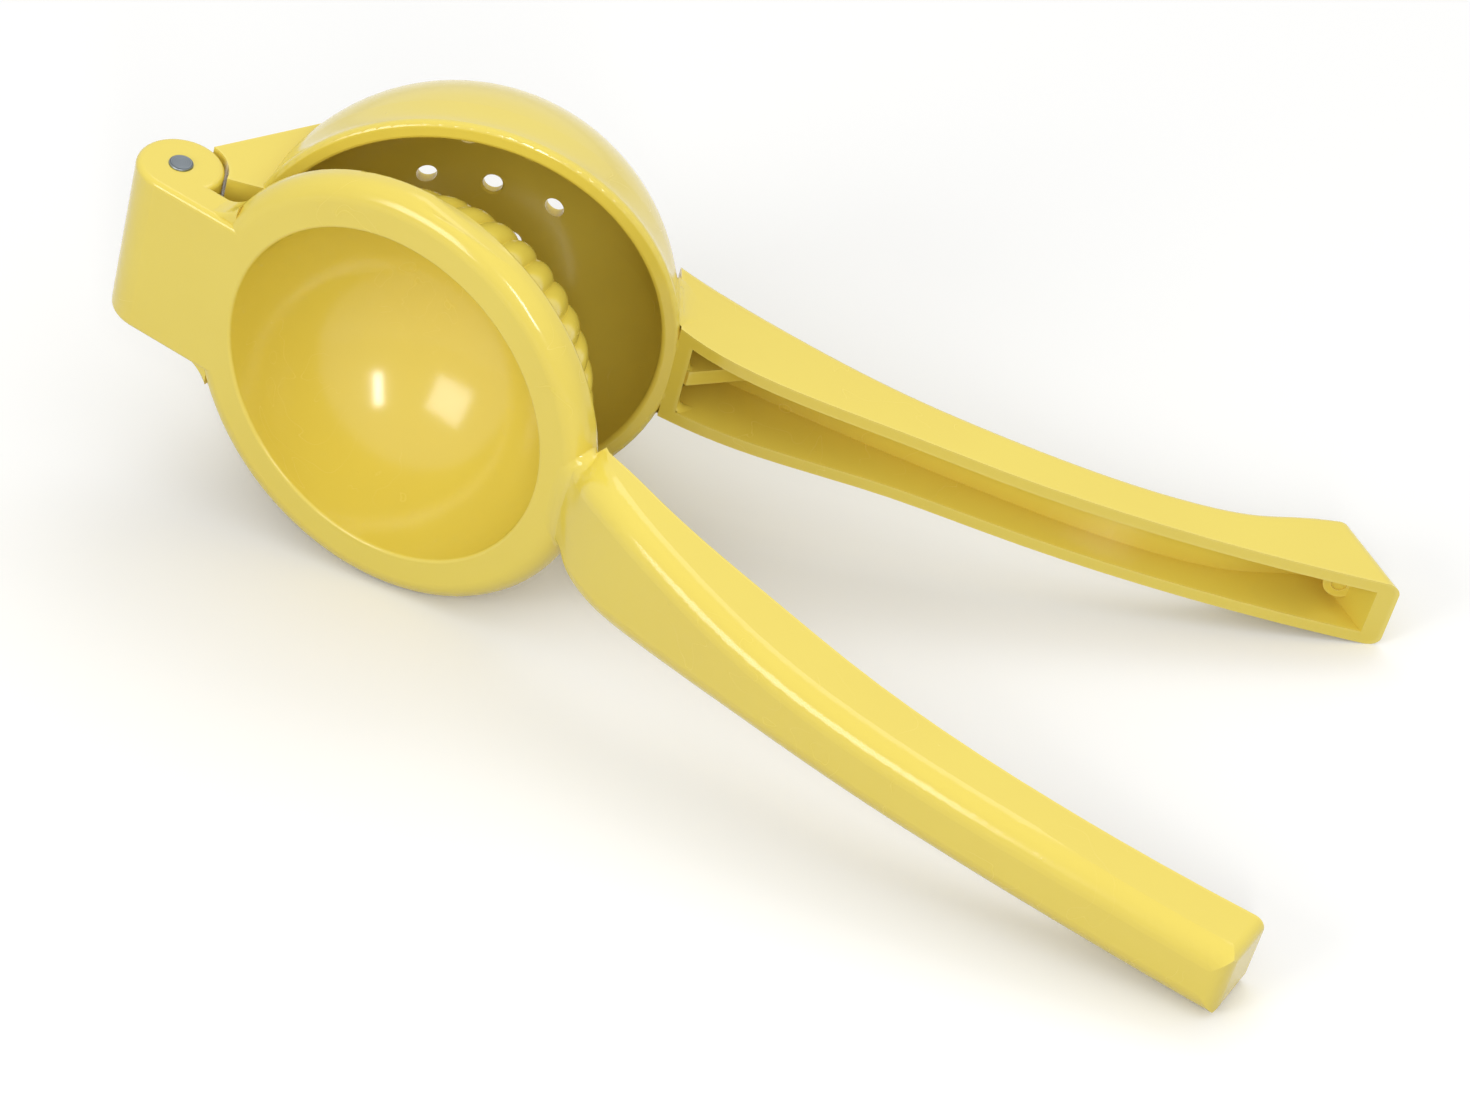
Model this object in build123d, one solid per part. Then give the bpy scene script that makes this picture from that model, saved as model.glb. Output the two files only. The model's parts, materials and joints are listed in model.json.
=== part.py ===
from build123d import *
import math
import os

# Hinged lemon squeezer: a strainer half, a press half and the pin that joins them.
# Both halves are drawn closed in one frame. X runs from the hinge to the handle tips,
# Y points from the press half to the strainer half and Z is the hinge axis. They are
# then opened about the hinge and the whole squeezer is laid down on its side.

# sizes that set all the others
cup_radius = 29.2           # inside of the cup, sized for half a lemon
handle_length = 126.2       # edge of the bowl's rim to the end of the press handle
opening_angle = 23.5        # degrees between the halves as they lie

# walls and clearances
cup_wall = 1.8              # cup to rib crests, at the ring
cup_floor = 3.0             # cup to rib crests, at the pole
juice_gap = 3.05            # rib crests to the inside of the bowl
bowl_wall = 2.0
rim_lip = 0.95              # rim beyond the outside of the bowl
hinge_reach = 10.3          # hinge axis to the edge of the bowl's rim
parting_y = -0.8            # middle of the gap between ring and rim
rim_gap = 0.4               # left between ring and rim when closed
handle_gap = 1.6            # left between the handles when closed
bowl_centre_y = 2.4

# head of the press half
ring_thickness = 6.1
ring_proud = 0.1            # ring beyond the bowl's rim, so that both reach the table
ring_front_round = 3.4
ring_back_round = 1.8
cup_lip_round = 0.5
rib_count = 36
rib_crest_radius = 3.45
rib_cap_radius = 9.0        # smooth patch round the pole
rib_cap_rise = 0.1
rib_core_depth = 2.0        # solid core below the rib crests
dome_shoulder = 21.5        # radius of the crests' profile at the ring
dome_sink = 0.6             # dome carried down into the ring
dome_overlap = 0.5          # ribs carried in under the cap

# bowl
rim_edge_height = 0.5
rim_round = 0.8
rim_mouth_round = 0.8
rim_blend_angle = 9.0       # how far up the bowl the flare of the rim reaches, in degrees
rim_blend_lean = 0.35
drain_hole_radius = 1.7
drain_ring_radius = 11.0
drain_ring_count = 6
drain_edge_cut = 0.35

# hinge
pin_radius = 2.0
pin_proud = 0.45
pin_end_round = 0.4
pin_grip = 0.01             # radial, in the ears
pin_play = 0.06             # radial, in the tongue
block_half_width = 14.9
tongue_half_width = 6.0
tongue_side_gap = 0.3
tongue_wall = 2.6           # round the bore
tongue_room = 0.5           # radial, between tongue and hood
hood_wall = 2.0
hood_end_angle = 160.0      # counted from the handle direction
hood_clear = 1.5            # space cut on past the hood's outside
neck_height = 3.6
shoulder_gap = 0.6
arm_slope = 42.6            # degrees, back of the hinge arm
arm_back_y = 19.5
arm_inset = 4.7             # where that height is taken, inside the bowl's wall
arm_overlap = 3.0           # arm carried on into the bowl
block_round = 1.0
block_back_step = 0.1       # back of the block below the back of the ring
block_web_radius = 7.0      # hollow corner between block and ring
block_web_bite = 0.15       # how far the corner's ends lie inside the block and the ring
block_web_step = 0.8        # corner set back from the front face
block_web_round = 0.6

# handles
handle_half_width = 6.5
handle_start = 1.0          # where the handle curves are counted from, past the rim
handle_wall = 2.2
handle_floor = 2.4
handle_end_wall = 3.0
press_edge_round = 4.0
strainer_edge_round = 1.2
tip_corner_round = 2.0
tip_outer_round = 2.8
tip_lean = 35.0             # degrees the end face leans
web_half_width = 1.4
pad_radius = 2.6
pad_setback = 8.5           # from the tip
pad_y = -8.8
pad_dimple_radius = 1.3
pad_dimple_depth = 0.3
press_channel_start = 1.8
strainer_channel_start = 0.8
beyond = 60.0               # half length of the solids that cut across the handles
near = 0.05                 # how closely an edge is matched when it is picked out

rib_radius = cup_radius + cup_wall
bowl_inner_radius = rib_radius + juice_gap
bowl_outer_radius = bowl_inner_radius + bowl_wall
rim_radius = bowl_outer_radius + rim_lip
centre_distance = hinge_reach + rim_radius
head_end = centre_distance + rim_radius + handle_start
ring_radius = rim_radius + ring_proud
ring_back = parting_y - rim_gap / 2
rim_front = parting_y + rim_gap / 2
mouth_radius = math.sqrt(bowl_inner_radius ** 2 - (bowl_centre_y - rim_front) ** 2)
ring_front = ring_back - ring_thickness
rib_depth = ring_front + cup_radius + cup_floor
dome_shoulder_radius = dome_shoulder - rib_crest_radius
dome_shoulder_x = rib_radius - dome_shoulder
bar_depth = rib_depth - rib_crest_radius
dome_crown_radius = (dome_shoulder_x ** 2 + bar_depth ** 2 - dome_shoulder_radius ** 2) / (
    2 * (bar_depth - dome_shoulder_radius)
)
dome_crown_y = bar_depth - dome_crown_radius
dome_meet_angle = math.degrees(math.atan2(-dome_crown_y, dome_shoulder_x))
dome_meet = (math.cos(math.radians(dome_meet_angle)), math.sin(math.radians(dome_meet_angle)))
tongue_radius = pin_radius + tongue_wall
room_radius = tongue_radius + tongue_room
ear_radius = room_radius + hood_wall
shoulder_radius = ear_radius + shoulder_gap
press_tip = centre_distance + rim_radius + handle_length
press_lip_end = -14.0 - handle_gap / 2
strainer_lip_end = -14.0 + handle_gap / 2
half_opening = math.radians(opening_angle / 2)
strainer_tip = press_tip + (press_lip_end + strainer_lip_end) * math.tan(half_opening)

head_axis = Axis((centre_distance, 0, 0), (0, 1, 0))


def at_angle(radius, degrees_from_x):
    angle = math.radians(degrees_from_x)
    return (radius * math.cos(angle), radius * math.sin(angle))


def closed_face(*edges):
    return make_face(Curve() + list(edges))


def block(low, high):
    size = [high[i] - low[i] for i in range(3)]
    return Pos(*low) * Box(*size, align=(Align.MIN, Align.MIN, Align.MIN))


def lip_line(offset):
    # edge of a handle towards the other handle, from the ring to the tip
    return [
        (head_end - 1.8, parting_y - 0.5 + offset),
        (head_end + 4.7, -4.1 + offset),
        (head_end + 35.7, -9.2 + offset),
        (head_end + 54.7, -12.2 + offset),
        (press_tip - 40.6, -14.9 + offset),
        (press_tip - 23.6, -15.1 + offset),
        (press_tip, -14.0 + offset),
    ]


def press_outer_line(rise):
    return [
        (head_end - 5.5, -6.0 + rise),
        (head_end + 2.7, -12.0 + rise),
        (head_end + 17.7, -17.6 + rise),
        (head_end + 48.7, -24.1 + rise),
        (press_tip - 40.6, -26.4 + rise),
        (press_tip, -26.2 + rise),
    ]


def strainer_back_line(drop):
    return [
        (head_end - 4.3, 15.6 - drop),
        (head_end + 4.7, 12.2 - drop),
        (head_end + 18.7, 7.2 - drop),
        (head_end + 35.7, 2.1 - drop),
        (head_end + 52.7, -1.7 - drop),
        (strainer_tip - 34.2, -5.5 - drop),
        (strainer_tip - 24.2, -4.4 - drop),
        (strainer_tip - 17.2, -2.1 - drop),
        (strainer_tip - 10.2, -0.4 - drop),
        (strainer_tip - 2.0, 0.0 - drop),
    ]


def across(outline):
    # outline seen along Z, carried past both sides of the handles
    return Pos(0, 0, -beyond) * extrude(outline, amount=2 * beyond)


def side_face(lower_points, upper_points):
    lower = Spline(*lower_points)
    upper = Spline(*upper_points)
    return closed_face(lower, Line(lower @ 1, upper @ 1), upper, Line(lower @ 0, upper @ 0))


def plan_solid(half_width_points):
    # outline seen along Y, the same on both sides of the middle
    side = Plane.XZ * Spline(*half_width_points)
    other = mirror(side, Plane.XY)
    outline = closed_face(side, Line(side @ 0, other @ 0), other, Line(side @ 1, other @ 1))
    return Pos(0, -beyond, 0) * extrude(outline, amount=2 * beyond, dir=(0, 1, 0))


def press_plan(inset, tip):
    return plan_solid([
        (head_end - 5.5, 18.4 - inset),
        (head_end + 3.0, 13.1 - inset),
        (head_end + 16.9, 10.0 - inset),
        (head_end + 39.5, handle_half_width + 0.8 - inset),
        (head_end + 64.7, handle_half_width - inset),
        (head_end + 90, handle_half_width - inset),
        (tip, handle_half_width - inset),
    ])


def strainer_plan(inset, tip):
    return plan_solid([
        (head_end - 5.3, 9.8 - inset),
        (head_end + 0.7, 8.9 - inset),
        (head_end + 11.7, 8.0 - inset),
        (head_end + 35.7, handle_half_width + 0.3 - inset),
        (head_end + 64.7, handle_half_width - inset),
        (head_end + 90, handle_half_width - inset),
        (tip, handle_half_width - inset),
    ])


def rounded_tip():
    # everything that stays once the two corners of the press handle's end are rounded off
    end = block((0, -beyond, -handle_half_width), (press_tip, beyond, handle_half_width))
    corners = end.edges().filter_by(Axis.Y).filter_by(lambda e: e.center().X > 0)
    return fillet(corners, tip_corner_round) + block((0, -beyond, -beyond), (head_end, beyond, beyond))


def long_edges(body, axis_sign):
    edges = body.edges().filter_by(lambda e: abs(e.center().Z) > near)
    edges = edges.sort_by(SortBy.LENGTH)[-4:].sort_by(Axis.Y)
    return edges[:2] if axis_sign < 0 else edges[2:]


def press_ring():
    inner = cup_radius - cup_wall
    section = Pos(centre_distance + inner, ring_front) * Rectangle(
        ring_radius - inner, ring_thickness, align=(Align.MIN, Align.MIN)
    )
    outer = section.vertices().sort_by(Axis.X)[-2:].sort_by(Axis.Y)
    section = fillet(outer[:1], ring_front_round)
    outer = section.vertices().sort_by(Axis.Y)[-2:].sort_by(Axis.X)
    section = fillet(outer[-1:], ring_back_round)
    return revolve(section, head_axis)


def dome_core_face(offset):
    # half section of the dome, a crown arc on the axis that runs into a tighter shoulder arc
    crown = dome_crown_radius + offset
    shoulder = dome_shoulder_radius + offset
    meet = (dome_shoulder_x + shoulder * dome_meet[0], shoulder * dome_meet[1])
    top = (0, dome_crown_y + crown)
    across = at_angle(crown, (90 + dome_meet_angle) / 2)
    down = at_angle(shoulder, dome_meet_angle / 2)
    foot = ring_back - dome_sink
    return closed_face(
        ThreePointArc(top, (across[0], dome_crown_y + across[1]), meet),
        ThreePointArc(meet, (dome_shoulder_x + down[0], down[1]), (dome_shoulder_x + shoulder, 0)),
        Line((dome_shoulder_x + shoulder, 0), (dome_shoulder_x + shoulder, foot)),
        Line((dome_shoulder_x + shoulder, foot), (0, foot)),
        Line((0, foot), top),
    )


def rib_tube():
    # round bar bent along the two arcs of the dome, with its foot in the ring
    shoulder_axis = Axis((dome_shoulder_x, 0, 0), (0, 0, 1))
    crown_axis = Axis((0, dome_crown_y, 0), (0, 0, 1))
    foot_circle = Pos(dome_shoulder_x + dome_shoulder_radius, 0, 0) * Rot(90, 0, 0) * Circle(rib_crest_radius)
    shoulder = revolve(foot_circle, shoulder_axis, dome_meet_angle)
    top_circle = Pos(0, dome_crown_y + dome_crown_radius, 0) * Rot(0, 90, 0) * Circle(rib_crest_radius)
    crown = revolve(top_circle, crown_axis, dome_meet_angle - 90)
    foot = extrude(foot_circle, amount=dome_sink - ring_back, dir=(0, -1, 0))
    return shoulder + crown + foot


def dome_rib():
    # one scallop of the dome with the metal under it, cut to its own slice of the circle
    body = rib_tube() + revolve(dome_core_face(rib_crest_radius - rib_core_depth), Axis.Y)
    inner = rib_cap_radius - dome_overlap
    reach = rib_radius + rib_crest_radius
    spread = math.tan(math.pi / rib_count)
    slice_face = make_face(Polyline(
        (inner, inner * spread), (reach, reach * spread), (reach, -reach * spread), (inner, -inner * spread),
        close=True,
    ))
    slice_solid = Pos(0, ring_back - dome_sink, 0) * extrude(Plane.XZ * slice_face, amount=-2 * rib_depth)
    return body & slice_solid


def dome():
    # the middle is capped by a smooth patch that stands just over the crests
    crown = Pos(0, dome_crown_y, 0) * Sphere(dome_crown_radius + rib_crest_radius + rib_cap_rise)
    column = Pos(0, ring_back - dome_sink, 0) * Rot(-90, 0, 0) * Cylinder(
        rib_cap_radius, 2 * rib_depth, align=(Align.CENTER, Align.CENTER, Align.MIN)
    )
    cap = column & crown
    rib = dome_rib()
    ribs = [Rot(0, i * 360 / rib_count, 0) * rib for i in range(rib_count)]
    return cap + ribs


def block_web():
    # hollow corners between the sides of the block and the ring, filled with a tangent arc
    reach = ring_radius - block_web_bite + block_web_radius
    side = block_half_width - block_web_bite
    centre_x = centre_distance - math.sqrt(reach ** 2 - (side + block_web_radius) ** 2)
    corner = (centre_x, side + block_web_radius)
    meet = (
        corner[0] + (centre_distance - corner[0]) * block_web_radius / reach,
        corner[1] - corner[1] * block_web_radius / reach,
    )
    turn = math.degrees(math.atan2(meet[1] - corner[1], meet[0] - corner[0]))
    middle = at_angle(block_web_radius, (turn - 90) / 2)
    outline = closed_face(
        ThreePointArc((centre_x, side), (corner[0] + middle[0], corner[1] + middle[1]), meet),
        Line(meet, (meet[0], 0)),
        Line((meet[0], 0), (centre_x, 0)),
        Line((centre_x, 0), (centre_x, side)),
    )
    low = ring_front + block_web_step
    high = ring_back - block_web_step / 2
    web = Pos(0, low, 0) * extrude(Plane.XZ * outline, amount=low - high)
    web = fillet(web.edges().filter_by(GeomType.CIRCLE), block_web_round)
    return web + mirror(web, Plane.XY)


def hinge_block():
    # ears and the block between them and the ring
    ears = Cylinder(ear_radius, 2 * block_half_width)
    inside_ring = centre_distance - cup_radius - cup_wall
    bar = block(
        (0, -ear_radius, -block_half_width),
        (inside_ring, ring_back - block_back_step, block_half_width),
    )
    solid = ears + bar
    ends = solid.edges().filter_by(
        lambda e: abs(abs(e.center().Z) - block_half_width) < near and e.center().X < inside_ring - near
    )
    return fillet(ends, block_round) + block_web()


def tongue_space():
    reach = ear_radius + hood_clear
    wedge = make_face(Polyline(
        (0, 0), at_angle(reach, hood_end_angle), (-reach, reach), (reach, reach), (reach, ring_back),
        (0, ring_back), close=True,
    ))
    outline = Circle(room_radius) + wedge
    return extrude(outline, amount=tongue_half_width + tongue_side_gap, both=True)


def press_handle():
    side = side_face(press_outer_line(0), lip_line(-handle_gap / 2))
    body = across(side) & press_plan(0, press_tip)
    body = fillet(long_edges(body, -1), press_edge_round)
    corner = side.vertices().sort_by(Axis.X)[-2:].sort_by(Axis.Y)[:1]
    body = body & across(fillet(corner, tip_outer_round))
    body = body & rounded_tip()
    hollow_side = side_face(press_outer_line(handle_floor), lip_line(handle_gap))
    hollow = across(hollow_side) & press_plan(handle_wall, press_tip)
    low = (head_end + press_channel_start, -beyond, -beyond)
    hollow = hollow & block(low, (press_tip - handle_end_wall, beyond, beyond))
    return body - hollow


def press_half():
    body = press_ring() + Pos(centre_distance, 0, 0) * dome()
    body = body + hinge_block() - tongue_space()
    body = body + press_handle()
    body = body - Pos(centre_distance, ring_front, 0) * Sphere(cup_radius)
    lip = body.edges().filter_by(GeomType.CIRCLE).filter_by(
        lambda e: abs(e.radius - cup_radius) < near and abs(e.center().Y - ring_front) < near
    )
    body = fillet(lip, cup_lip_round)
    return body - Cylinder(pin_radius + pin_grip, 4 * block_half_width)


def bowl_outside():
    # solid of the bowl with its flared rim, before it is hollowed
    meet = at_angle(bowl_outer_radius, rim_blend_angle)
    meet = (meet[0], bowl_centre_y + meet[1])
    edge_top = (rim_radius, rim_front + rim_round + rim_edge_height)
    pole = (0, bowl_centre_y + bowl_outer_radius)
    middle = at_angle(bowl_outer_radius, 45 + rim_blend_angle / 2)
    middle = (middle[0], bowl_centre_y + middle[1])
    along = at_angle(1, 90 + rim_blend_angle)
    section = closed_face(
        ThreePointArc(pole, middle, meet),
        Spline(edge_top, meet, tangents=[(-rim_blend_lean, 1), along]),
        Line(edge_top, (rim_radius, rim_front)),
        Line((rim_radius, rim_front), (0, rim_front)),
        Line((0, rim_front), pole),
    )
    corner = section.vertices().sort_by(Axis.Y)[:2].sort_by(Axis.X)[-1:]
    section = fillet(corner, rim_round)
    return Pos(centre_distance, 0, 0) * revolve(section, Axis.Y)


def hinge_arm():
    back_x = centre_distance - bowl_inner_radius + arm_inset
    end_x = back_x + arm_overlap
    slope = math.tan(math.radians(arm_slope))
    outline = make_face(Polyline(
        (0, rim_front), (end_x, rim_front), (end_x, arm_back_y + slope * arm_overlap),
        (0, arm_back_y - slope * back_x), close=True,
    ))
    outline = outline - Circle(shoulder_radius)
    outline = outline & Pos(0, rim_front) * Rectangle(beyond, beyond, align=(Align.MIN, Align.MIN))
    shoulders = extrude(outline, amount=block_half_width, both=True)
    neck = Pos(0, rim_front) * Rectangle(
        shoulder_radius + 1, neck_height - rim_front, align=(Align.MIN, Align.MIN)
    )
    tongue = extrude(Circle(tongue_radius) + neck, amount=tongue_half_width, both=True)
    return shoulders + tongue


def before_tip(setback):
    # all that lies on the bowl's side of the slanted end face
    side = block((-2 * press_tip, -2 * press_tip, -beyond), (-setback, 2 * press_tip, beyond))
    return Pos(strainer_tip, strainer_lip_end, 0) * Rot(0, 0, tip_lean) * side


def strainer_handle():
    side = side_face(lip_line(handle_gap / 2), strainer_back_line(0))
    body = across(side) & strainer_plan(0, press_tip)
    body = body & before_tip(0)
    end_face = body.faces().sort_by(Axis.X)[-1]
    corners = end_face.edges().filter_by(lambda e: abs(e.center().Z) > near)
    body = fillet(corners, tip_corner_round)
    return fillet(long_edges(body, 1), strainer_edge_round)


def strainer_channel():
    side = side_face(lip_line(-handle_gap), strainer_back_line(handle_floor))
    hollow = across(side) & strainer_plan(handle_wall, press_tip)
    hollow = hollow & before_tip(handle_end_wall)
    return hollow & block((head_end + strainer_channel_start, -beyond, -beyond), (press_tip, beyond, beyond))


def root_web():
    # rib on the middle of the channel floor where the handle leaves the bowl
    outline = make_face(Polyline(
        (head_end - 2.7, 2.0), (head_end + 1.3, -0.9), (head_end + 15.8, 7.5), (head_end - 2.7, 12.0),
        close=True,
    ))
    return Pos(0, 0, -web_half_width) * extrude(outline, amount=2 * web_half_width)


def tip_pad():
    # round ejector pad on the channel floor
    foot = Pos(strainer_tip - pad_setback, pad_y, 0) * Rot(-90, 0, 0)
    pad = Cylinder(pad_radius, handle_half_width, align=(Align.CENTER, Align.CENTER, Align.MIN))
    return foot * (pad - Cylinder(pad_dimple_radius, 2 * pad_dimple_depth))


def drain_holes():
    step = 360 / drain_ring_count
    spots = [(0, 0)] + [at_angle(drain_ring_radius, i * step) for i in range(drain_ring_count)]
    hole = Rot(-90, 0, 0) * Cylinder(
        drain_hole_radius, 2 * bowl_outer_radius, align=(Align.CENTER, Align.CENTER, Align.MIN)
    )
    return [Pos(centre_distance + x, bowl_centre_y, z) * hole for x, z in spots]


def strainer_half():
    blank = strainer_handle()
    handle = blank - strainer_channel() + (blank & root_web()) + (blank & tip_pad())
    body = bowl_outside() + hinge_arm() + handle
    body = body - Pos(centre_distance, bowl_centre_y, 0) * Rot(-90, 0, 0) * Sphere(bowl_inner_radius)
    mouth = body.edges().filter_by(GeomType.CIRCLE).filter_by(
        lambda e: abs(e.radius - mouth_radius) < near and abs(e.center().Y - rim_front) < near
    )
    body = fillet(mouth, rim_mouth_round)
    body = body - drain_holes()
    body = chamfer(body.edges().filter_by(is_drain_edge), drain_edge_cut)
    return body - Cylinder(pin_radius + pin_play, 4 * block_half_width)


def is_drain_edge(edge):
    from_middle = math.hypot(edge.center().X - centre_distance, edge.center().Z)
    short = edge.length < 3 * math.pi * drain_hole_radius
    return short and from_middle < drain_ring_radius + near and edge.center().Y > bowl_inner_radius / 2


def hinge_pin():
    pin = Cylinder(pin_radius, 2 * (block_half_width + pin_proud))
    ends = pin.edges().filter_by(GeomType.CIRCLE)
    return fillet(ends, pin_end_round)


def lie_down(press, strainer, pin):
    # halves opened about the hinge, then tipped until ring, rim and handle tips share one plane
    tip_x = press_tip * math.cos(half_opening) + press_lip_end * math.sin(half_opening)
    run = tip_x - tip_corner_round - centre_distance * math.cos(half_opening)
    fall = handle_half_width - tip_corner_round
    tilt = 0
    for _ in range(4):
        lean = math.sin(half_opening) * math.sin(tilt)
        drop = rim_radius * math.sqrt(1 - lean ** 2) - tip_corner_round
        tilt = math.asin(drop / math.hypot(run, fall)) - math.atan2(fall, run)
    tilt = math.degrees(tilt)
    turned = [
        Rot(0, tilt, 0) * Rot(0, 0, -opening_angle / 2) * press,
        Rot(0, tilt, 0) * Rot(0, 0, opening_angle / 2) * strainer,
        Rot(0, tilt, 0) * Rot(0, 0, -opening_angle / 2) * pin,
    ]
    bounds = Compound([piece.solid() for piece in turned]).bounding_box()
    centre = bounds.center()
    shift = Pos(-centre.X, -centre.Y, -bounds.min.Z)
    print("tilt", tilt, "hinge point", (-centre.X, -centre.Y, -bounds.min.Z))
    return [shift * piece for piece in turned]


def main():
    os.makedirs("parts", exist_ok=True)
    names = ["press_half", "strainer_half", "hinge_pin"]
    pieces = lie_down(press_half(), strainer_half(), hinge_pin())
    for name, piece in zip(names, pieces):
        export_step(piece, "parts/" + name + ".step")
        print(name, len(piece.solids()), "solid", round(piece.volume), "mm3")


if __name__ == "__main__":
    main()
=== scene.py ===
import json
import math

import bpy
import bmesh
from mathutils import Matrix, Vector


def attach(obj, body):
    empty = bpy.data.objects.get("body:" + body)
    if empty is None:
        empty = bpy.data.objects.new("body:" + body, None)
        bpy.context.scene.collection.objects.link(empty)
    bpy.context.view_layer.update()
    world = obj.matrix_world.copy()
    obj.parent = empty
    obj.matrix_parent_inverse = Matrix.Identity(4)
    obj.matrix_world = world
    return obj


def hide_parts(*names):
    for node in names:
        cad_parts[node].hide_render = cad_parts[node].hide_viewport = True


# Hinged lemon squeezer: enamelled cast halves on a steel pin, on a pale floor.
# Lengths are in metres unless a name ends in Mm, angles in radians unless it ends in Degrees.

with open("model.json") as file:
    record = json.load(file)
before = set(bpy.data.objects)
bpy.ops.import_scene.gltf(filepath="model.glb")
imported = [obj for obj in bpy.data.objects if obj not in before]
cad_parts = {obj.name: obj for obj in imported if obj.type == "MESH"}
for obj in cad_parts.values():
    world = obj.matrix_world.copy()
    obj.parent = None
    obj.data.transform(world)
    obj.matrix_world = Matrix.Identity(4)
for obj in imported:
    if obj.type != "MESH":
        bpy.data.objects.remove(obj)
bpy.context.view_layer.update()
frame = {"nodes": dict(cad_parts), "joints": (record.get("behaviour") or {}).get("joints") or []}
nodes = frame["nodes"]
mm = 0.001

hinge = frame["joints"][0]
hingePoint = Vector(hinge["pos_m"])
hingeAxis = Vector(hinge["axis"]).normalized()
print("frame loaded:", ", ".join(sorted(nodes)))


def linearColour(hexColour):  # from an sRGB hex value
    channels = [int(hexColour[i:i + 2], 16) / 255 for i in (1, 3, 5)]
    linear = [c / 12.92 if c <= 0.04045 else ((c + 0.055) / 1.055) ** 2.4 for c in channels]
    return (*linear, 1.0)


def addNode(tree, kind, settings=None, links=None, values=None):
    node = tree.nodes.new(kind)
    for name, value in (settings or {}).items():
        setattr(node, name, value)
    for socket, value in (values or {}).items():
        node.inputs[socket].default_value = value
    for socket, source in (links or {}).items():
        tree.links.new(source, node.inputs[socket])
    return node


def newMaterial(name):
    material = bpy.data.materials.new(name)
    material.use_nodes = True
    tree = material.node_tree
    tree.nodes.clear()
    shader = addNode(tree, "ShaderNodeBsdfPrincipled")
    addNode(tree, "ShaderNodeOutputMaterial", links={"Surface": shader.outputs["BSDF"]})
    return material, tree, shader


# Stove enamel sprayed on die-cast aluminium and baked: a thick glossy skin that flows out smooth
# and thins over sharp edges; its colour is painted darker in corners and flutes as shade.
enamel = {
    "body": "#E9D458",
    # painted shade: the darker colour laid into corners and flutes; the slow random drift of tone leans to
    # it too
    "paintedShade": "#D8B948",
    "thin": "#F1E079",
    "ior": 1.6,
    "roughness": 0.16,
    "roughnessSpread": 0.05,
    "orangePeelMm": 2.2,              # wavelength of the slow waves that spraying leaves
    "orangePeelHeightMm": 0.006,
    "shadeReachMm": 5.0,               # how far from a corner or flute the painted shade reaches
    "shadeOpenness": (0.25, 0.85),     # openness of a corner where the painted shade is darkest, and where there is none
    "darkeningShare": 0.75,
    "edgeReachMm": 0.9,               # how far from an edge the enamel thins
    "edgeOpenness": (0.35, 0.8),
    "edgeShare": 0.6,
    "opennessSamples": 6,
    "cloudMm": 28.0,                  # slow drift of the colour over a casting
    "cloudRange": (0.3, 0.7),
    "cloudShare": 0.16,
    "speckMm": 4.0,                   # dust baked into the coat: one place for a speck in each such cell
    "speckSize": (0.02, 0.07),        # its flat top and its foot, as parts of a cell
    "speckShare": 0.45,               # part of those places that holds one
    "speckHeightMm": 0.03,
    "scuffMm": 14.0,                  # spread of the hairlines that handling and the dish rack leave
    "scuffWidth": 0.005,
    "scuffPatches": (0.48, 0.6),      # where the slow drift lets them show
    "scuffRoughness": 0.16,
}


def enamelColour(tree, cloud, coat):
    # painted shade: the colour darkens where the surface is enclosed, in corners and flutes
    corner = addNode(tree, "ShaderNodeAmbientOcclusion",
                     {"samples": coat["opennessSamples"], "only_local": True},
                     values={"Distance": coat["shadeReachMm"] * mm})
    paintedShade = addNode(tree, "ShaderNodeMapRange", links={"Value": corner.outputs["AO"]},
                     values={"From Min": coat["shadeOpenness"][0], "From Max": coat["shadeOpenness"][1],
                             "To Min": coat["darkeningShare"], "To Max": 0.0})
    drift = addNode(tree, "ShaderNodeMapRange", links={"Value": cloud},
                    values={"From Min": coat["cloudRange"][0], "From Max": coat["cloudRange"][1],
                            "To Min": 0.0, "To Max": coat["cloudShare"]})
    darkeningShare = addNode(tree, "ShaderNodeMath", {"operation": "MAXIMUM"},
                        {0: paintedShade.outputs["Result"], 1: drift.outputs["Result"]})
    shadeAndDriftMix = addNode(tree, "ShaderNodeMix", {"data_type": "RGBA"}, {"Factor": darkeningShare.outputs[0]},
                      {"A": linearColour(coat["body"]), "B": linearColour(coat["paintedShade"])})
    edge = addNode(tree, "ShaderNodeAmbientOcclusion",
                   {"samples": coat["opennessSamples"], "inside": True, "only_local": True},
                   values={"Distance": coat["edgeReachMm"] * mm})
    thinned = addNode(tree, "ShaderNodeMapRange", links={"Value": edge.outputs["AO"]},
                      values={"From Min": coat["edgeOpenness"][0], "From Max": coat["edgeOpenness"][1],
                              "To Min": coat["edgeShare"], "To Max": 0.0})
    edgeMix = addNode(tree, "ShaderNodeMix", {"data_type": "RGBA"},
                      {"Factor": thinned.outputs["Result"], "A": shadeAndDriftMix.outputs["Result"]},
                      {"B": linearColour(coat["thin"])})
    return edgeMix.outputs["Result"]


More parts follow.
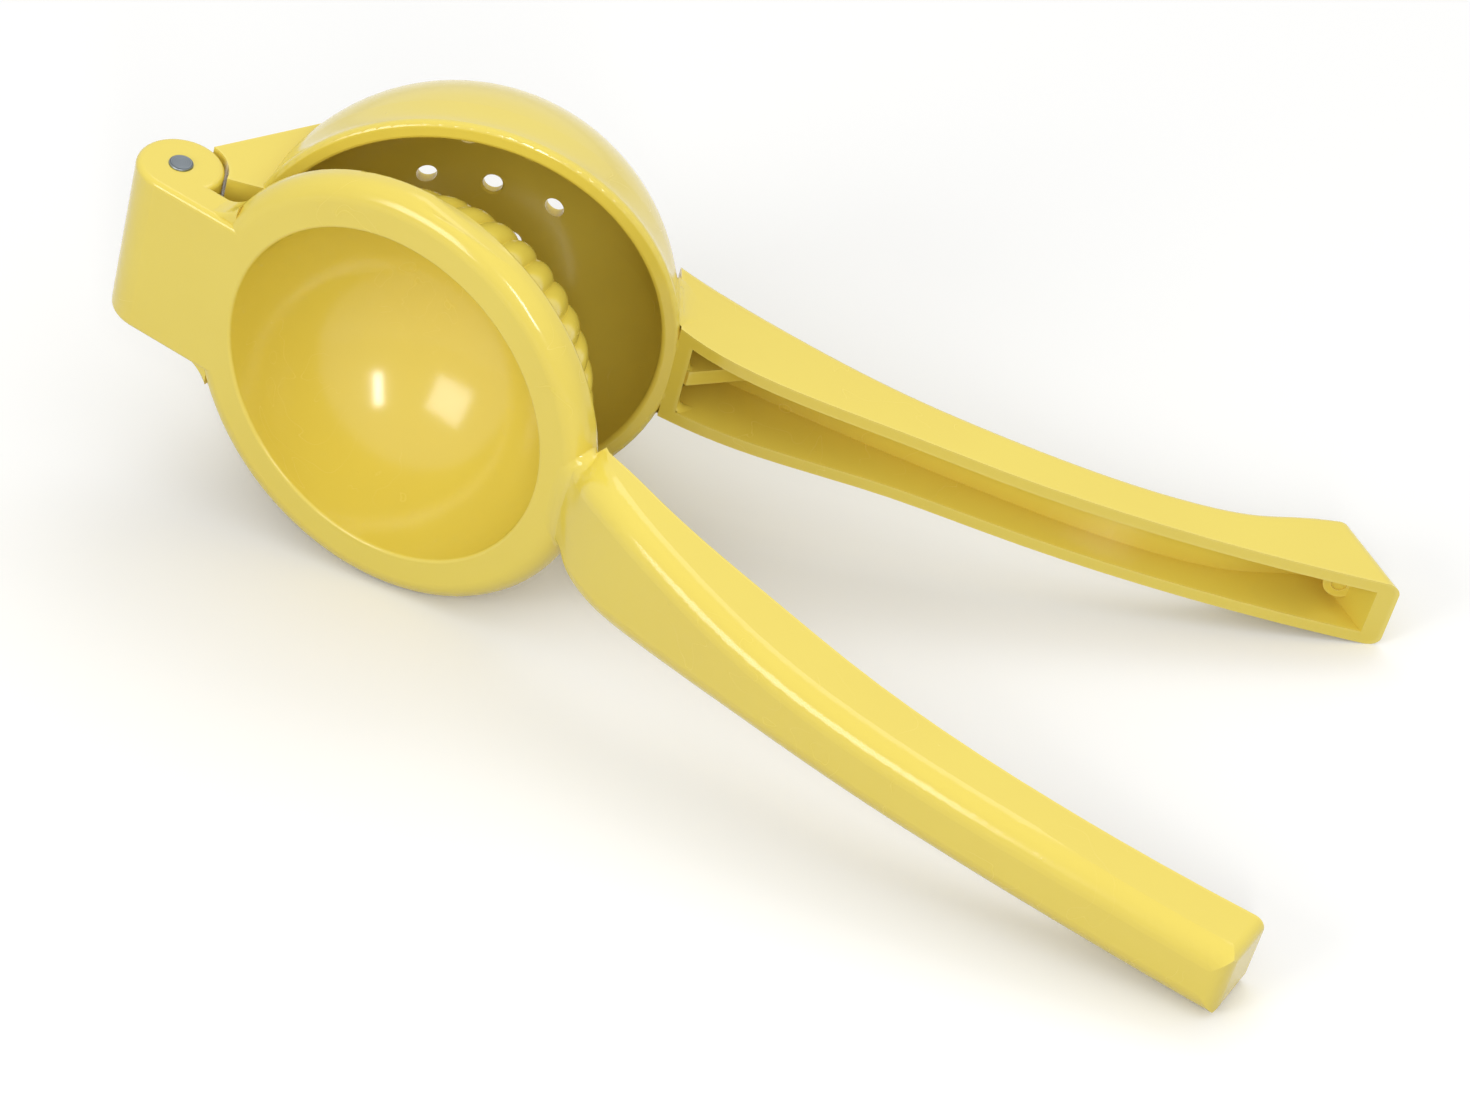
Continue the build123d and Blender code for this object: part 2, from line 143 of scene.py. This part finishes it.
def enamelRoughness(tree, place, cloud, coat):
    spread = coat["roughnessSpread"] / 2
    gloss = addNode(tree, "ShaderNodeMapRange", links={"Value": cloud},
                    values={"From Min": coat["cloudRange"][0], "From Max": coat["cloudRange"][1],
                            "To Min": coat["roughness"] - spread, "To Max": coat["roughness"] + spread})
    field = addNode(tree, "ShaderNodeTexNoise", links={"Vector": place},
                    values={"Scale": 1 / (coat["scuffMm"] * mm), "Detail": 1.5, "Distortion": 1.4})
    # a hairline runs where the field crosses its middle value
    offset = addNode(tree, "ShaderNodeMath", {"operation": "SUBTRACT"}, {0: field.outputs["Fac"]}, {1: 0.5})
    distance = addNode(tree, "ShaderNodeMath", {"operation": "ABSOLUTE"}, {0: offset.outputs[0]})
    hairline = addNode(tree, "ShaderNodeMapRange", links={"Value": distance.outputs[0]},
                       values={"From Min": 0.0, "From Max": coat["scuffWidth"],
                               "To Min": coat["scuffRoughness"], "To Max": 0.0})
    handled = addNode(tree, "ShaderNodeMapRange", links={"Value": cloud},
                      values={"From Min": coat["scuffPatches"][0], "From Max": coat["scuffPatches"][1],
                              "To Min": 0.0, "To Max": 1.0})
    scuff = addNode(tree, "ShaderNodeMath", {"operation": "MULTIPLY"},
                    {0: hairline.outputs["Result"], 1: handled.outputs["Result"]})
    worn = addNode(tree, "ShaderNodeMath", {"operation": "ADD"},
                   {0: gloss.outputs["Result"], 1: scuff.outputs[0]})
    return worn.outputs[0]


def enamelRelief(tree, place, coat):
    dust = addNode(tree, "ShaderNodeTexVoronoi", links={"Vector": place},
                   values={"Scale": 1 / (coat["speckMm"] * mm)})
    dot = addNode(tree, "ShaderNodeMapRange", links={"Value": dust.outputs["Distance"]},
                  values={"From Min": coat["speckSize"][0], "From Max": coat["speckSize"][1],
                          "To Min": 1.0, "To Max": 0.0})
    held = addNode(tree, "ShaderNodeMath", {"operation": "LESS_THAN"}, {0: dust.outputs["Color"]},
                   {1: coat["speckShare"]})
    speck = addNode(tree, "ShaderNodeMath", {"operation": "MULTIPLY"},
                    {0: dot.outputs["Result"], 1: held.outputs[0]})
    peel = addNode(tree, "ShaderNodeTexNoise", links={"Vector": place},
                   values={"Scale": 1 / (coat["orangePeelMm"] * mm), "Detail": 1.0, "Roughness": 0.4})
    waves = addNode(tree, "ShaderNodeBump", links={"Height": peel.outputs["Fac"]},
                    values={"Strength": 1.0, "Distance": coat["orangePeelHeightMm"] * mm})
    specks = addNode(tree, "ShaderNodeBump",
                     links={"Height": speck.outputs[0], "Normal": waves.outputs["Normal"]},
                     values={"Strength": 1.0, "Distance": coat["speckHeightMm"] * mm})
    return specks.outputs["Normal"]


def makeEnamel(coat):
    material, tree, shader = newMaterial("stoveEnamelOnCastAluminium")
    place = addNode(tree, "ShaderNodeTexCoord").outputs["Object"]
    drift = addNode(tree, "ShaderNodeTexNoise", links={"Vector": place},
                    values={"Scale": 1 / (coat["cloudMm"] * mm), "Detail": 3.0, "Roughness": 0.5})
    cloud = drift.outputs["Fac"]
    tree.links.new(enamelColour(tree, cloud, coat), shader.inputs["Base Color"])
    tree.links.new(enamelRoughness(tree, place, cloud, coat), shader.inputs["Roughness"])
    tree.links.new(enamelRelief(tree, place, coat), shader.inputs["Normal"])
    shader.inputs["IOR"].default_value = coat["ior"]
    return material


# Plain turned steel: the end faces show the fine rings of the parting tool.
pinSteel = {
    "steel": "#8E9599",
    "groove": "#5C636A",
    "roughness": 0.34,
    "ringMm": 0.35,           # wider than real tool marks, which would be too fine to show
    "ringHeightMm": 0.012,
    "wobble": 0.6,
    "waveLength": 0.314,      # of the wave texture at a scale of 1
}


def makePinSteel(metal):
    material, tree, shader = newMaterial("turnedSteel")
    place = addNode(tree, "ShaderNodeTexCoord").outputs["Object"]
    turn = hingeAxis.to_track_quat("Z", "Y").to_euler()
    onAxis = addNode(tree, "ShaderNodeMapping", {"vector_type": "TEXTURE"}, {"Vector": place},
                     {"Location": hingePoint, "Rotation": turn})
    rings = addNode(tree, "ShaderNodeTexWave", {"wave_type": "RINGS", "rings_direction": "Z"},
                    {"Vector": onAxis.outputs["Vector"]},
                    {"Scale": metal["waveLength"] / (metal["ringMm"] * mm), "Distortion": metal["wobble"],
                     "Detail": 1.0})
    tone = addNode(tree, "ShaderNodeMix", {"data_type": "RGBA"}, {"Factor": rings.outputs["Fac"]},
                   {"A": linearColour(metal["groove"]), "B": linearColour(metal["steel"])})
    tree.links.new(tone.outputs["Result"], shader.inputs["Base Color"])
    relief = addNode(tree, "ShaderNodeBump", links={"Height": rings.outputs["Fac"]},
                     values={"Strength": 1.0, "Distance": metal["ringHeightMm"] * mm})
    tree.links.new(relief.outputs["Normal"], shader.inputs["Normal"])
    shader.inputs["Metallic"].default_value = 1.0
    shader.inputs["Roughness"].default_value = metal["roughness"]
    return material


def finishNode(name, material):
    node = nodes[name]
    node.data.materials.clear()
    node.data.materials.append(material)


enamelMaterial = makeEnamel(enamel)
pinMaterial = makePinSteel(pinSteel)
finishNode("press_half", enamelMaterial)
finishNode("strainer_half", enamelMaterial)
finishNode("hinge_pin", pinMaterial)
print("materials on the CAD pieces")


# Each half has its own frame: x from the hinge to the handle tip, y square to the ring, z along the pin.
halves = {
    "openDegrees": 11.75,     # each half stands this far off the middle
    "headDistanceMm": 47.3,   # hinge to the middle of the ring and of the bowl
}


def halfFrame(sign):
    tilt = Matrix.Rotation(math.atan2(-hingeAxis.x, -hingeAxis.z), 4, "Y")
    turn = Matrix.Rotation(sign * math.radians(halves["openDegrees"]), 4, "Z")
    return Matrix.Translation(hingePoint) @ tilt @ turn


pressFrame = halfFrame(-1)
strainerFrame = halfFrame(1)
headX = halves["headDistanceMm"] * mm


def smoothStep(value, low, high):
    t = min(max((value - low) / (high - low), 0), 1)
    return t * t * (3 - 2 * t)


# The press half as it is seen: its handle leaves the ring narrower than in the CAD plan.
# Points on the ring only slide round it, so the ring keeps its shape.
pressRoot = {
    "ringRadiusMm": 37.1,
    "ringBackMm": -0.7,
    "narrowing": 0.40,            # share of the width lost where the handle meets the ring
    "narrowFromMm": 80.0,
    "narrowReachMm": 6.3,
    "ringShare": 0.63,            # width left on the ring itself
    "ringFlankDegrees": 27.4,     # where the handle's side met the ring
    "ringEaseDegrees": 58.0,
    "ringBlendMm": (-0.6, 1.4),   # from the ring's edge, where ring gives way to handle
    "ringFadeMm": (31.5, 35.5),
    "handleFadeMm": (37.2, 42.0),
    "sharpDegrees": 28.0,         # an edge bent more than this stays crisp
    "mergeMm": 0.0005,            # corners of the loose triangles closer than this become one
}


def rootShift(point, root):
    if point.y > root["ringBackMm"] * mm or point.x < headX:
        return point
    out = Vector((point.x - headX, 0, point.z))
    radius = out.length / mm
    angle = abs(math.degrees(math.atan2(point.z, out.x)))
    flank = smoothStep(angle, root["ringFlankDegrees"], root["ringEaseDegrees"])
    onRing = root["ringShare"] + (1 - root["ringShare"]) * flank
    past = max(point.x / mm - root["narrowFromMm"], 0) / root["narrowReachMm"]
    onHandle = 1 - root["narrowing"] * math.exp(-past * past / 2)
    inner, outer = (root["ringRadiusMm"] + step for step in root["ringBlendMm"])
    share = onRing + (onHandle - onRing) * smoothStep(radius, inner, outer)
    share = 1 + (share - 1) * smoothStep(radius, *root["ringFadeMm"])
    z = point.z * share
    slide = math.sqrt(max(out.length ** 2 - z ** 2, 0)) - out.x
    slide *= 1 - smoothStep(radius, *root["handleFadeMm"])
    return Vector((point.x + slide, point.y, z))


def makePressCasting(root):
    mesh = nodes["press_half"].data.copy()
    mesh.name = "pressCasting"
    casting = bpy.data.objects.new("pressCasting", mesh)
    bpy.context.scene.collection.objects.link(casting)
    shape = bmesh.new()
    shape.from_mesh(mesh)
    for edge in shape.edges:
        edge.smooth = not edge.is_boundary  # a border between two CAD surfaces stays crisp
    bmesh.ops.remove_doubles(shape, verts=shape.verts, dist=root["mergeMm"] * mm)
    shape.transform(pressFrame.inverted())
    for vertex in shape.verts:
        vertex.co = rootShift(vertex.co, root)
    shape.transform(pressFrame)
    for edge in shape.edges:
        if edge.calc_face_angle(0) > math.radians(root["sharpDegrees"]):
            edge.smooth = False
    for face in shape.faces:
        face.smooth = True
    shape.to_mesh(mesh)
    shape.free()
    mesh.attributes.remove(mesh.attributes["custom_normal"])
    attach(casting, "press")
    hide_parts("press_half")
    return casting


pressCasting = makePressCasting(pressRoot)
print("press casting")


# The casting flows from ring and bowl into the handles. A fine copy of the surface is smoothed and only
# its outward moves are kept, so it fills the hollow corners and stays just under the surface elsewhere.
rootFlow = {
    "voxelMm": 0.42,
    "smoothings": 130,
    "underMm": 0.035,
    "fromXMm": 75.0,
    "toXMm": 100.0,
    "edgeMm": 4.0,            # over which the flow fades at the ends of that stretch
    "coreEaseMm": 1.0,
}
# Where it may rise, each over a short stretch: past the rim radius, in front of the back, and within the
# core, the strip along the middle plane, only in front of the front.
pressFlow = {"rimRadiusMm": (31.0, 33.5), "backMm": (-2.2, -1.2), "coreMm": 7.4, "frontMm": (-7.0, -6.2)}
strainerFlow = {"rimRadiusMm": (34.6, 35.6), "backMm": (59.0, 60.0), "coreMm": 6.6, "frontMm": (0.2, 1.0)}


def flowShare(point, flow, reach):
    x, y, z = point.x / mm, point.y / mm, abs(point.z) / mm
    share = smoothStep(x, flow["fromXMm"], flow["fromXMm"] + flow["edgeMm"])
    share *= 1 - smoothStep(x, flow["toXMm"] - flow["edgeMm"], flow["toXMm"])
    share *= smoothStep(math.hypot(x - headX / mm, z), *reach["rimRadiusMm"])
    share *= 1 - smoothStep(y, *reach["backMm"])
    outside = smoothStep(z, reach["coreMm"], reach["coreMm"] + flow["coreEaseMm"])
    front = 1 - smoothStep(y, *reach["frontMm"])
    return share * max(outside, front)


def fineCopy(piece, flow):
    voxels = piece.modifiers.new("voxels", "REMESH")
    voxels.mode = "VOXEL"
    voxels.voxel_size = flow["voxelMm"] * mm
    graph = bpy.context.evaluated_depsgraph_get()
    mesh = bpy.data.meshes.new_from_object(piece.evaluated_get(graph))
    piece.modifiers.clear()
    shape = bmesh.new()
    shape.from_mesh(mesh)
    bpy.data.meshes.remove(mesh)
    return shape


def makeRootFlow(name, body, source, half, flow, reach):
    piece = bpy.data.objects.new(name, source.data.copy())
    bpy.context.scene.collection.objects.link(piece)
    shape = fineCopy(piece, flow)
    shape.transform(half.inverted())
    low, high = flow["fromXMm"] * mm, flow["toXMm"] * mm
    bmesh.ops.delete(shape, geom=[v for v in shape.verts if not low < v.co.x < high], context="VERTS")
    shape.normal_update()
    before = [(v.co.copy(), v.normal.copy()) for v in shape.verts]
    inner = [v for v in shape.verts if not v.is_boundary]
    for _ in range(flow["smoothings"]):
        bmesh.ops.smooth_vert(shape, verts=inner, factor=0.5,
                              use_axis_x=True, use_axis_y=True, use_axis_z=True)
    under = flow["underMm"] * mm
    raised = set()
    for vertex, (place, normal) in zip(shape.verts, before):
        rise = max((vertex.co - place).dot(normal), 0) * flowShare(place, flow, reach)
        vertex.co = place + normal * (rise - under)
        if rise > under:
            raised.add(vertex)
    covered = [face for face in shape.faces if not raised.intersection(face.verts)]
    bmesh.ops.delete(shape, geom=covered, context="FACES")
    bmesh.ops.delete(shape, geom=[v for v in shape.verts if not v.link_faces], context="VERTS")
    shape.transform(half)
    for face in shape.faces:
        face.smooth = True
    shape.to_mesh(piece.data)
    shape.free()
    piece.data.materials.clear()
    piece.data.materials.append(enamelMaterial)
    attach(piece, body)
    print(name, len(piece.data.polygons), "faces")


makeRootFlow("pressRootFlow", "press", pressCasting, pressFrame, rootFlow, pressFlow)
makeRootFlow("strainerRootFlow", "strainer", nodes["strainer_half"], strainerFrame, rootFlow, strainerFlow)


# Pale paper under an even sky. The camera, the gloss and clear things see both as white.
studio = {
    "floorColour": "#FBFBFA",   # as the camera sees the paper
    "bounceColour": "#B7B3A8",  # as it lights the squeezer from below
    "floorRadius": 3.0,
    "floorSides": 96,
    "paperRoughness": 0.9,
    "worldColour": "#FFFFFF",
    "skyTowards": (0.38, 0.0, 0.92),
    "skyFrom": -0.1,            # how far round from there the sky starts to brighten, as a cosine
    "skyLow": 0.22,             # strength away from that direction
    "skyHigh": 1.07,            # strength in that direction
}


def seenAsBackground(tree):
    path = addNode(tree, "ShaderNodeLightPath")
    mirrored = addNode(tree, "ShaderNodeMath", {"operation": "MAXIMUM"},
                       {0: path.outputs["Is Glossy Ray"], 1: path.outputs["Is Transmission Ray"]})
    seen = addNode(tree, "ShaderNodeMath", {"operation": "MAXIMUM"},
                   {0: path.outputs["Is Camera Ray"], 1: mirrored.outputs[0]})
    return seen.outputs[0]


def makeFloor(room):
    mesh = bpy.data.meshes.new("floor")
    shape = bmesh.new()
    bmesh.ops.create_circle(shape, cap_ends=True, segments=room["floorSides"], radius=room["floorRadius"])
    shape.to_mesh(mesh)
    shape.free()
    floor = bpy.data.objects.new("floor", mesh)
    bpy.context.scene.collection.objects.link(floor)
    material, tree, shader = newMaterial("paperSweep")
    tone = addNode(tree, "ShaderNodeMix", {"data_type": "RGBA"}, {"Factor": seenAsBackground(tree)},
                   {"A": linearColour(room["bounceColour"]), "B": linearColour(room["floorColour"])})
    tree.links.new(tone.outputs["Result"], shader.inputs["Base Color"])
    shader.inputs["Roughness"].default_value = room["paperRoughness"]
    shader.inputs["Specular IOR Level"].default_value = 0.0
    mesh.materials.append(material)


def makeWorld(room):
    world = bpy.data.worlds.new("studio")
    bpy.context.scene.world = world
    world.use_nodes = True
    tree = world.node_tree
    tree.nodes.clear()
    place = addNode(tree, "ShaderNodeTexCoord").outputs["Generated"]
    along = addNode(tree, "ShaderNodeVectorMath", {"operation": "DOT_PRODUCT"}, {0: place},
                    {1: room["skyTowards"]})
    sky = addNode(tree, "ShaderNodeMapRange", {"interpolation_type": "SMOOTHSTEP"},
                  {"Value": along.outputs["Value"]},
                  {"From Min": room["skyFrom"], "From Max": 1.0,
                   "To Min": room["skyLow"], "To Max": room["skyHigh"]})
    strength = addNode(tree, "ShaderNodeMix", {"data_type": "FLOAT"},
                       {"Factor": seenAsBackground(tree), "A": sky.outputs["Result"]}, {"B": 1.0})
    background = addNode(tree, "ShaderNodeBackground", links={"Strength": strength.outputs["Result"]},
                         values={"Color": linearColour(room["worldColour"])})
    addNode(tree, "ShaderNodeOutputWorld", links={"Surface": background.outputs[0]})


makeFloor(studio)
makeWorld(studio)


softboxes = {
    # name: place of the lamp, what it points at, width, height, watts
    "back": ((0.05, 0.45, 0.75), (0.0, 0.0, 0.03), 0.60, 0.30, 0.8),
    "window": ((-0.47, -0.78, 0.48), (-0.05, 0.0, 0.03), 0.46, 0.40, 2.7),
    "strip": ((0.28, -0.70, 0.48), (-0.05, 0.0, 0.03), 0.08, 0.33, 1.6),
}


def addSoftbox(name, place, target, width, height, watts):
    light = bpy.data.lights.new(name, "AREA")
    light.shape = "RECTANGLE"
    light.size = width
    light.size_y = height
    light.energy = watts
    lamp = bpy.data.objects.new(name, light)
    bpy.context.scene.collection.objects.link(lamp)
    lamp.location = place
    lamp.rotation_euler = (Vector(target) - Vector(place)).to_track_quat("-Z", "Y").to_euler()


for softbox, facts in softboxes.items():
    addSoftbox(softbox, *facts)
print("floor and lights")


view = {
    "lensMm": 117.56,
    "sensorMm": 36.0,
    "target": (0.00725, -0.00420, 0.02181),
    "distance": 0.75028,
    "azimuthDegrees": -17.898,    # 0 looks along +Y
    "elevationDegrees": 37.260,
    "rollDegrees": 2.434,
    "clipStart": 0.01,
}


def makeCamera(shot):
    azimuth = math.radians(shot["azimuthDegrees"])
    elevation = math.radians(shot["elevationDegrees"])
    roll = math.radians(shot["rollDegrees"])
    level = math.cos(elevation)
    forward = Vector((math.sin(azimuth) * level, math.cos(azimuth) * level, -math.sin(elevation)))
    data = bpy.data.cameras.new("camera")
    data.lens = shot["lensMm"]
    data.sensor_width = shot["sensorMm"]
    data.clip_start = shot["clipStart"]
    camera = bpy.data.objects.new("camera", data)
    bpy.context.scene.collection.objects.link(camera)
    turned = forward.to_track_quat("-Z", "Y").to_matrix() @ Matrix.Rotation(roll, 3, "Z")
    place = Vector(shot["target"]) - forward * shot["distance"]
    camera.matrix_world = Matrix.Translation(place) @ turned.to_4x4()
    bpy.context.scene.camera = camera


makeCamera(view)
bpy.context.scene.view_settings.view_transform = "Standard"
print("camera")
